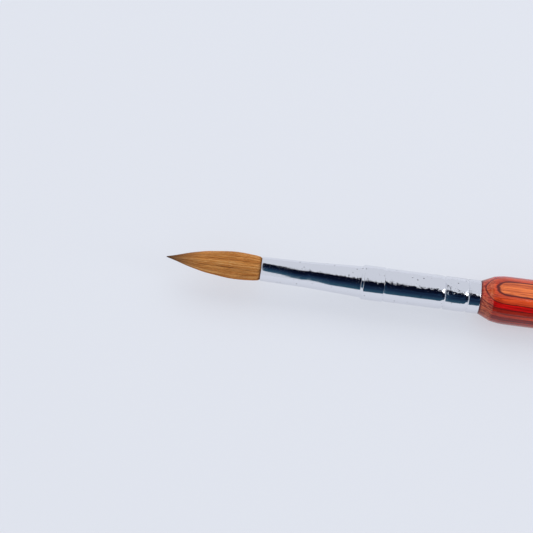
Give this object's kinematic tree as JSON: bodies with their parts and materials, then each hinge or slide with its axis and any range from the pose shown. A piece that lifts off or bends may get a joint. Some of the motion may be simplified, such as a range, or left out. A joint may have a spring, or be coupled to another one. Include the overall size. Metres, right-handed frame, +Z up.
{
  "type": "acrylic nail brush",
  "caption": "Round pointed sable brush for acrylic nails, with a crimped two-piece plated ferrule and a turned handle of dyed veneers.",
  "frame": {"origin": "on the brush's axis, at the middle of its length", "axes": "+X along the brush from the hair's tip to the tail of the handle, +Z up, square to the veneers' glue lines"},
  "size_m": [0.1782, 0.0092, 0.0093],
  "materials": {
    "hair": "natural sable hair, soft, straw to dark brown",
    "thread": "waxed cotton thread",
    "resin": "set resin",
    "plating": "nickel-plated drawn brass, satin with fine pitting",
    "glue": "wood glue",
    "veneer_orange": "dyed veneer under clear gloss lacquer",
    "veneer_red": "dyed veneer under clear gloss lacquer",
    "veneer_scarlet": "dyed veneer under clear gloss lacquer"
  },
  "bodies": {
    "handle": {"ferrule_front": "plating", "ferrule_rear": "plating", "hair_root": "hair", "binding_thread": "thread", "resin_plug": "resin", "tenon_glue": "glue", "handle_veneer_01": "veneer_orange", "handle_veneer_02": "veneer_red", "handle_veneer_03": "veneer_scarlet", "handle_veneer_04": "veneer_red", "handle_veneer_05": "veneer_orange", "handle_veneer_06": "veneer_scarlet", "handle_veneer_07": "veneer_red", "handle_veneer_08": "veneer_orange", "handle_veneer_09": "veneer_scarlet", "handle_veneer_10": "veneer_red", "handle_veneer_11": "veneer_orange", "handle_veneer_12": "veneer_scarlet"},
    "tuft": {"hair_tuft": "hair"}
  },
  "joints": [
    {"name": "tuft_flex", "type": "hinge", "parent": "handle", "child": "tuft", "pos_m": [-0.07075, 0, 0], "axis": [0, 1, 0], "range_deg": [-30, 30], "stiffness_Nm_per_rad": 0.002, "deforming": ["hair_tuft"]}
  ]
}
